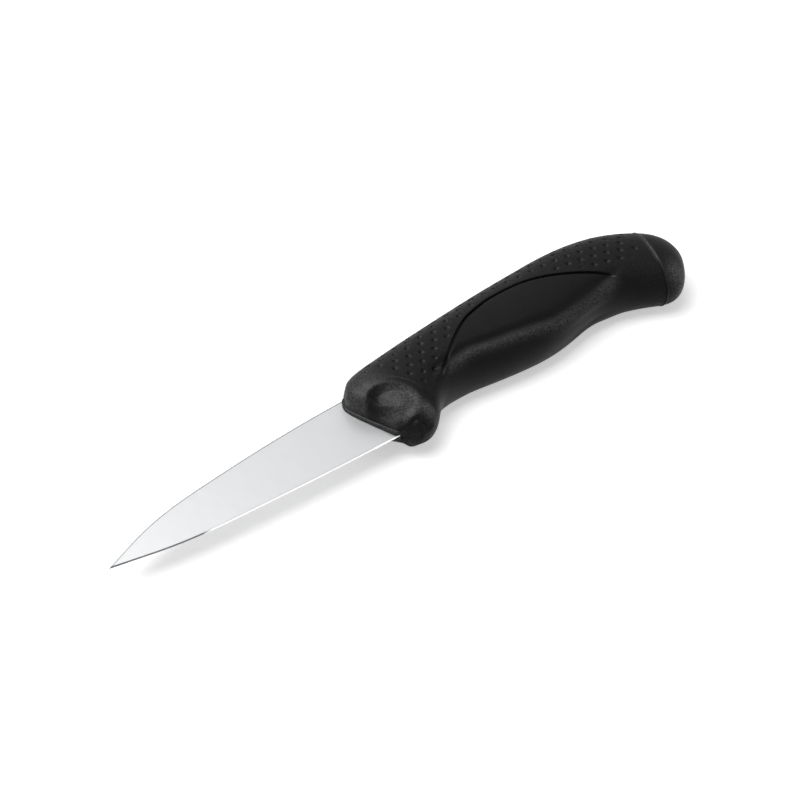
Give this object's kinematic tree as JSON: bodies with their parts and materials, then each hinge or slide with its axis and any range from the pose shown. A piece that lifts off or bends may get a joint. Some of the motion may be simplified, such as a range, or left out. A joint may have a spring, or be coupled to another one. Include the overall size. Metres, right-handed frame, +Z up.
{
  "type": "paring knife",
  "caption": "Small kitchen knife with a spear-shaped, full flat ground blade and a contoured two-material moulded handle with a slanting end cap.",
  "frame": {"origin": "bottom centre of the bounding box of the knife lying on the side of its handle", "axes": "+X from the tip toward the butt, +Y from the cutting edge toward the spine, +Z up, square to the blade"},
  "size_m": [0.1958, 0.031, 0.0186],
  "materials": {
    "blade_steel": "satin ground",
    "hard_plastic": "fine matte",
    "soft_grip": "dotted matte"
  },
  "bodies": {
    "root": {"blade": "blade_steel", "handle_core": "hard_plastic", "grip_sleeve": "soft_grip", "butt_cap": "hard_plastic"}
  },
  "joints": []
}
